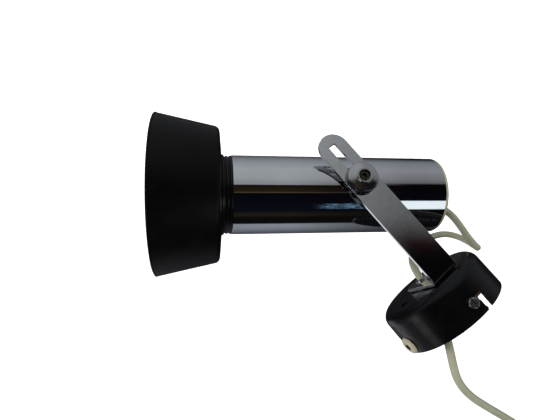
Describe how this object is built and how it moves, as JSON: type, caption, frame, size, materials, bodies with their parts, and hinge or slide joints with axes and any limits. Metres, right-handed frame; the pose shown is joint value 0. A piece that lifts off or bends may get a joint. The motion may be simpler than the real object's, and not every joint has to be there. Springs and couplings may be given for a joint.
{
  "type": "adjustable spotlight",
  "caption": "Canopy mounted spotlight: chromed tube with a flared black hood, clamped by a knob to a slotted swivel arm, with its lead looping into the canopy.",
  "frame": {"origin": "centre of the canopy's mounting face, on the wall or ceiling, midway between the two wall holes", "axes": "+Y into the wall, so the arm stands out along -Y; +Z is the axis that the lamp head tilts about, on the side of the clamp knob; +X completes the frame, on the side the hood points to"},
  "size_m": [0.2508, 0.4404, 0.1331],
  "materials": {
    "black_satin": "black enamel, satin gloss",
    "black_hood": "black enamel, satin",
    "black_collar": "black moulding with ribs",
    "chrome_tube": "bright chrome plate",
    "plated_strip": "bright plate on bent strip",
    "zinc": "zinc plated",
    "turned_alloy": "turned, with fine rings",
    "steel_screw": "plain steel",
    "nylon": "natural nylon",
    "ivory_plastic": "aged ivory moulding",
    "grey_lead": "flexible sheath, olive grey",
    "core_insulation": "insulated wires",
    "brass": "plain brass",
    "block_plastic": "white moulding",
    "phenolic": "dark moulded",
    "nickelled_shell": "nickel plated",
    "lamp_glass": "frosted front, silvered bowl"
  },
  "bodies": {
    "bracket": {"mounting_strap": "zinc", "side_screws": "zinc", "terminal_block": "block_plastic", "terminal_sleeves": "brass", "terminal_screws": "steel_screw", "block_screw": "steel_screw", "earth_screw": "zinc", "supply_cord": "grey_lead", "supply_tails": "core_insulation", "cord_clamp": "zinc", "clamp_screws": "zinc", "supply_cores": "core_insulation", "lead_cores": "core_insulation"},
    "canopy": {"canopy_cover": "black_satin", "entry_grommet": "ivory_plastic"},
    "arm": {"arm_bracket": "plated_strip", "swivel_nipple": "zinc", "swivel_washer": "zinc", "spring_washer": "zinc", "nipple_nut": "zinc"},
    "carriage": {"slot_bush": "nylon", "knob_washer": "nylon", "lamp_lead": "grey_lead"},
    "spot": {"spot_tube": "chrome_tube", "saddle_washer": "nylon", "holder_bracket": "zinc", "clamp_nut": "zinc", "rear_cap": "ivory_plastic", "lead_bush": "ivory_plastic", "lampholder_body": "phenolic", "lampholder_shell": "nickelled_shell", "centre_contact": "brass", "holder_screws": "zinc", "holder_wires": "core_insulation", "hood_collar": "black_collar", "hood_shade": "black_hood"},
    "knob": {"clamp_knob": "turned_alloy", "clamp_screw": "steel_screw"},
    "bulb": {"lamp_cap": "nickelled_shell", "lamp_contact": "brass", "lamp_glass": "lamp_glass"}
  },
  "joints": [
    {"name": "canopy_turn", "type": "hinge", "parent": "bracket", "child": "canopy", "pos_m": [0, 0, 0], "axis": [0, 1, 0], "range_deg": [0, 11.5]},
    {"name": "arm_pan", "type": "hinge", "parent": "canopy", "child": "arm", "pos_m": [0, 0, 0], "axis": [0, 1, 0], "range_deg": [-170, 170]},
    {"name": "arm_slide", "type": "slide", "parent": "arm", "child": "carriage", "axis": [0, -1, 0], "range_m": [0, 0.026]},
    {"name": "spot_tilt", "type": "hinge", "parent": "carriage", "child": "spot", "pos_m": [0, -0.128, 0], "axis": [0, 0, 1], "range_deg": [-60, 55], "deforming": ["lamp_lead"]},
    {"name": "knob_turn", "type": "hinge", "parent": "spot", "child": "knob", "pos_m": [0, -0.128, 0], "axis": [0, 0, 1], "range_deg": [0, 360]},
    {"name": "bulb_withdraw", "type": "slide", "parent": "spot", "child": "bulb", "axis": [0.7976, -0.6032, 0], "range_m": [0, 0.13]}
  ]
}
